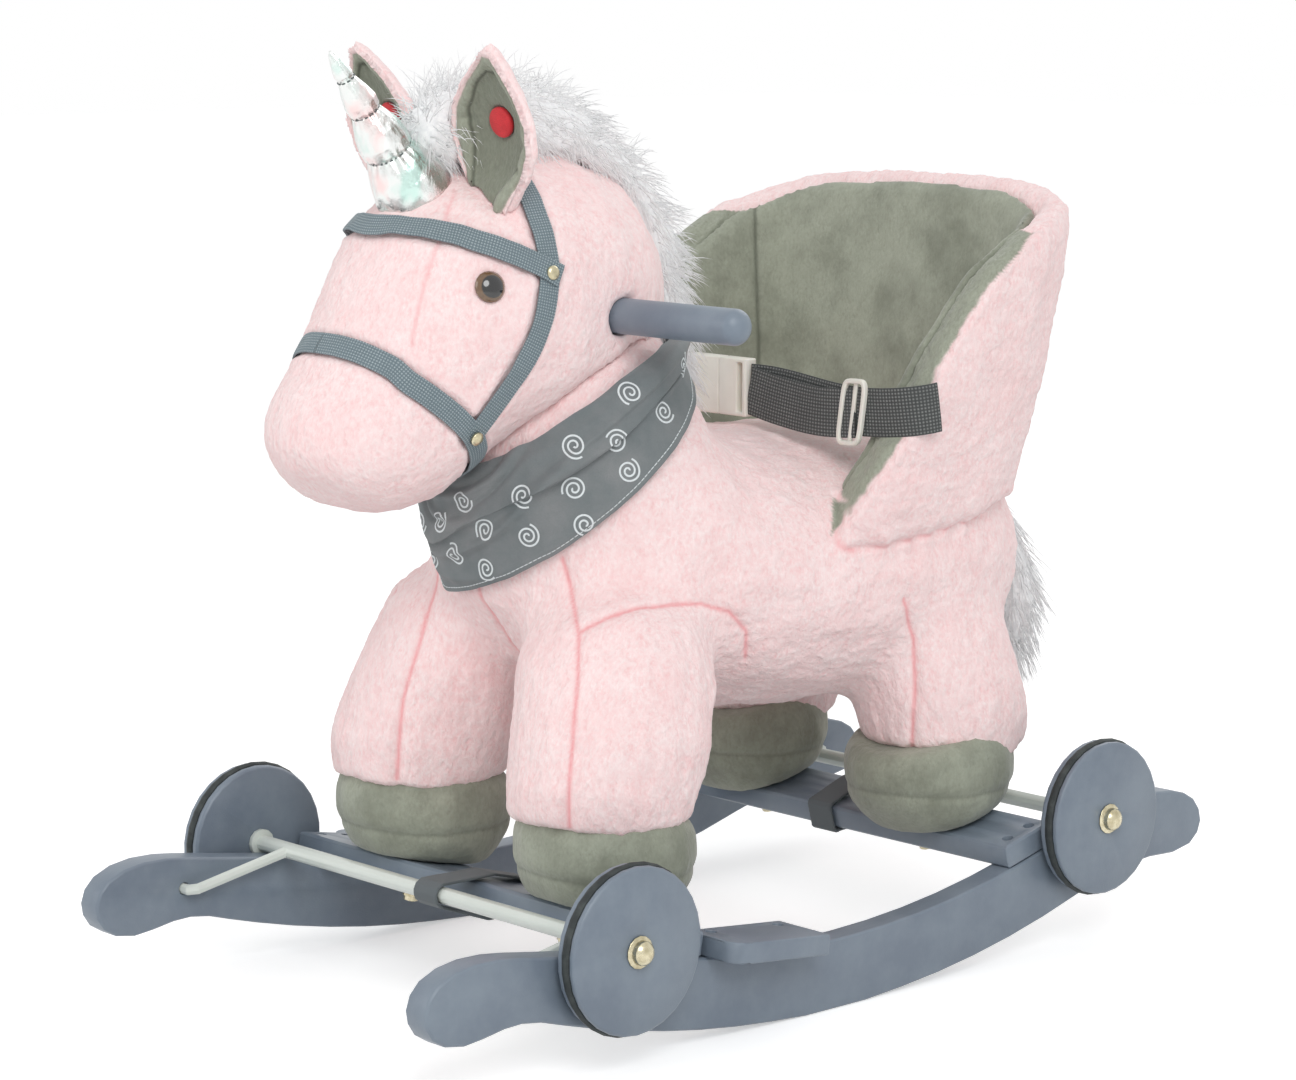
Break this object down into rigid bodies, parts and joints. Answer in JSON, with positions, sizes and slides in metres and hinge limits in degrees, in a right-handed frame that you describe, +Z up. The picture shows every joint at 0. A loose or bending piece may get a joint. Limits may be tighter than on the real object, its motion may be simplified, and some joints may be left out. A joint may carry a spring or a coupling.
{
  "type": "ride-on plush unicorn",
  "caption": "Plush ride-on unicorn with a bucket seat, handlebar and lap belt on wooden rockers that take fold-down wheels.",
  "frame": {"origin": "on the floor under the middle of the whole toy, with both rockers on the floor", "axes": "+Z up, -Y the way the unicorn faces, +X its left side"},
  "size_m": [0.383, 0.6464, 0.567],
  "materials": {
    "grey_blue_paint": "satin grey-blue paint on solid wood",
    "white_tube": "white powder-coated steel tube",
    "black_rubber": "matt black rubber",
    "plated_steel": "yellow-passivated steel",
    "pink_plush": "short pink plush over stuffing",
    "sage_plush": "sage grey velour over stuffing",
    "white_shag": "long white pile",
    "silver_foil": "metallised silver fabric over stuffing",
    "grey_cloth": "thin woven grey cloth with white spirals",
    "grey_webbing": "grey polyester webbing",
    "dark_webbing": "dark grey polyester webbing",
    "white_plastic": "off-white moulded plastic",
    "brown_eye": "glossy brown and black plastic",
    "red_patch": "plain red woven patch over a push button",
    "bare_wood": "bare plywood and softwood inside the toy"
  },
  "bodies": {
    "toy": {"body": "pink_plush", "bridle": "grey_webbing", "buckle_socket": "white_plastic", "front_crossboard": "grey_blue_paint", "front_left_hoof": "sage_plush", "front_left_leg": "pink_plush", "front_left_leg_bolt": "plated_steel", "front_left_leg_post": "bare_wood", "front_right_hoof": "sage_plush", "front_right_leg": "pink_plush", "front_right_leg_bolt": "plated_steel", "front_right_leg_post": "bare_wood", "front_strap": "grey_webbing", "handle": "grey_blue_paint", "head": "pink_plush", "horn": "silver_foil", "left_belt": "dark_webbing", "left_ear": "pink_plush", "left_eye": "brown_eye", "left_footrest": "grey_blue_paint", "left_rocker": "grey_blue_paint", "mane": "white_shag", "neck_post": "bare_wood", "rear_crossboard": "grey_blue_paint", "rear_left_hoof": "sage_plush", "rear_left_leg": "pink_plush", "rear_left_leg_bolt": "plated_steel", "rear_left_leg_post": "bare_wood", "rear_right_hoof": "sage_plush", "rear_right_leg": "pink_plush", "rear_right_leg_bolt": "plated_steel", "rear_right_leg_post": "bare_wood", "rear_strap": "grey_webbing", "right_belt": "dark_webbing", "right_ear": "pink_plush", "right_eye": "brown_eye", "right_footrest": "grey_blue_paint", "right_rocker": "grey_blue_paint", "scarf": "grey_cloth", "seat_board": "bare_wood", "seat_lining": "sage_plush", "seat_shell": "pink_plush", "tail": "white_shag"},
    "front_bracket": {"front_wheel_bracket": "white_tube", "front_left_axle_cap": "plated_steel", "front_right_axle_cap": "plated_steel"},
    "front_left_wheel": {"front_left_wheel": "grey_blue_paint", "front_left_tyre": "black_rubber"},
    "front_right_wheel": {"front_right_wheel": "grey_blue_paint", "front_right_tyre": "black_rubber"},
    "rear_bracket": {"rear_wheel_bracket": "white_tube", "rear_left_axle_cap": "plated_steel", "rear_right_axle_cap": "plated_steel"},
    "rear_left_wheel": {"rear_left_wheel": "grey_blue_paint", "rear_left_tyre": "black_rubber"},
    "rear_right_wheel": {"rear_right_wheel": "grey_blue_paint", "rear_right_tyre": "black_rubber"},
    "left_ear_button": {"left_ear_button": "red_patch"},
    "right_ear_button": {"right_ear_button": "red_patch"},
    "buckle_plug": {"buckle_plug": "white_plastic"}
  },
  "joints": [
    {"name": "front_bracket_fold", "type": "hinge", "parent": "toy", "child": "front_bracket", "pos_m": [0, -0.26, 0.0568], "axis": [1, 0, 0], "range_deg": [0, 315], "deforming": ["front_strap"]},
    {"name": "front_left_wheel_spin", "type": "hinge", "parent": "front_bracket", "child": "front_left_wheel", "pos_m": [0, -0.187, 0.06997], "axis": [1, 0, 0], "continuous": true},
    {"name": "front_right_wheel_spin", "type": "hinge", "parent": "front_bracket", "child": "front_right_wheel", "pos_m": [0, -0.187, 0.06997], "axis": [1, 0, 0], "continuous": true},
    {"name": "rear_bracket_fold", "type": "hinge", "parent": "toy", "child": "rear_bracket", "pos_m": [0, 0.281, 0.0654], "axis": [1, 0, 0], "range_deg": [-310, 0], "deforming": ["rear_strap"]},
    {"name": "rear_left_wheel_spin", "type": "hinge", "parent": "rear_bracket", "child": "rear_left_wheel", "pos_m": [0, 0.208, 0.08337], "axis": [1, 0, 0], "continuous": true},
    {"name": "rear_right_wheel_spin", "type": "hinge", "parent": "rear_bracket", "child": "rear_right_wheel", "pos_m": [0, 0.208, 0.08337], "axis": [1, 0, 0], "continuous": true},
    {"name": "left_ear_button_press", "type": "slide", "parent": "toy", "child": "left_ear_button", "axis": [-0.0504, 0.9705, 0.2359], "range_m": [0, 0.0012], "stiffness_N_per_m": 400},
    {"name": "right_ear_button_press", "type": "slide", "parent": "toy", "child": "right_ear_button", "axis": [0.0504, 0.9705, 0.2359], "range_m": [0, 0.0012], "stiffness_N_per_m": 400},
    {"name": "buckle_release", "type": "slide", "parent": "toy", "child": "buckle_plug", "axis": [1, 0, 0], "range_m": [0, 0.022], "deforming": ["left_belt"]}
  ]
}
